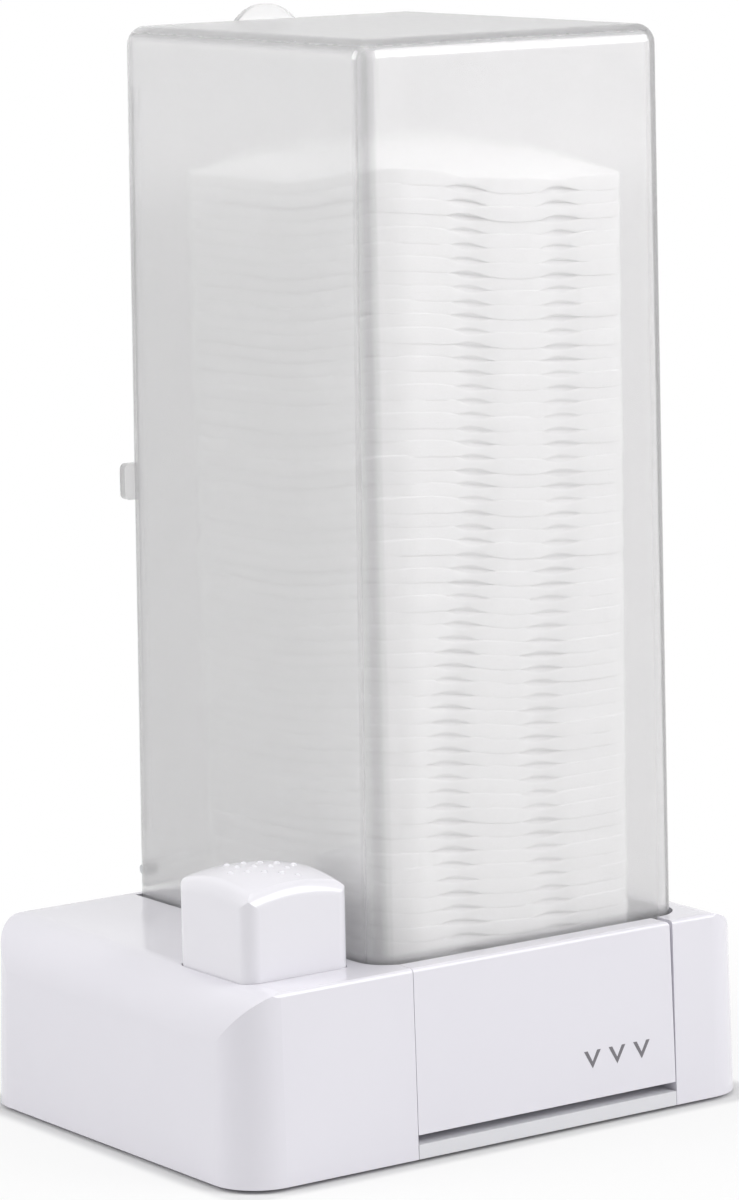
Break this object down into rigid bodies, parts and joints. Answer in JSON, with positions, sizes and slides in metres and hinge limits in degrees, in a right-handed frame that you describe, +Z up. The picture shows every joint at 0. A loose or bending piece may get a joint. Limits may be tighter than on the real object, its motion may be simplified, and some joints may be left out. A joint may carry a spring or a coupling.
{
  "type": "cotton pad holder",
  "caption": "Press-button cotton pad holder: a clear tapered hood of stacked square pads on a glossy white base; a press slides the lowest pad out of the front slot.",
  "frame": {"origin": "middle of the footprint, on the table under the feet", "axes": "+Z up, the outlet slot faces -Y, the press button stands at the -X end, +X runs to the right of the slot"},
  "size_m": [0.125, 0.0946, 0.2193],
  "materials": {
    "base_shell": "glossy moulded white plastic with a faint lilac tint",
    "button_shell": "glossy moulded white plastic with raised grip dots",
    "base_floor": "satin moulded white plastic",
    "inner_plastic": "satin moulded off-white plastic",
    "moving_plastic": "satin self-lubricating pale plastic",
    "gear_plastic": "natural gear plastic",
    "clear_hood": "clear moulded plastic with a light frost",
    "foot_rubber": "soft grey rubber",
    "screw_steel": "plated steel",
    "pin_steel": "ground steel",
    "spring_steel": "drawn spring steel",
    "cotton": "pressed white cotton"
  },
  "bodies": {
    "base": {"base_housing": "base_shell", "base_plate": "base_floor", "front_panel": "base_shell", "foot_pads": "foot_rubber", "base_screws": "screw_steel", "pad_chute": "inner_plastic", "hood": "clear_hood", "door_pins": "pin_steel", "button_guide": "inner_plastic", "button_spring": "spring_steel", "plunger_channel": "inner_plastic", "outer_bearing": "inner_plastic", "inner_bearing": "inner_plastic", "slide_rails": "inner_plastic", "pad_stack": "cotton"},
    "button": {"button_cap": "button_shell", "button_plunger": "moving_plastic"},
    "gear_train": {"gear_shaft": "pin_steel", "drive_pinion": "gear_plastic", "feed_gear": "gear_plastic", "shaft_clips": "spring_steel"},
    "pusher": {"pusher_slide": "moving_plastic"},
    "next_pad": {"feed_pad": "cotton"},
    "door": {"rear_door": "clear_hood"}
  },
  "joints": [
    {"name": "button_press", "type": "slide", "parent": "base", "child": "button", "axis": [0, 0, -1], "range_m": [0, 0.011], "stiffness_N_per_m": 160, "springref_m": -0.012, "deforming": ["button_spring"]},
    {"name": "shaft_turn", "type": "hinge", "parent": "base", "child": "gear_train", "pos_m": [0, -0.004, 0.0168], "axis": [-1, 0, 0], "range_deg": [0, 106]},
    {"name": "pusher_feed", "type": "slide", "parent": "base", "child": "pusher", "axis": [0, -1, 0], "range_m": [0, 0.0203]},
    {"name": "pad_feed", "type": "slide", "parent": "base", "child": "next_pad", "axis": [0, -1, 0], "range_m": [0, 0.0203]},
    {"name": "door_open", "type": "hinge", "parent": "base", "child": "door", "pos_m": [0, 0.04412, 0.0434], "axis": [-1, 0, 0], "range_deg": [0, 90]}
  ],
  "couplings": [
    {"joint": "shaft_turn", "follows": "button_press", "rad_per_m": 166.67},
    {"joint": "pusher_feed", "follows": "button_press", "ratio": 1.8333},
    {"joint": "pad_feed", "follows": "button_press", "ratio": 1.8333}
  ]
}
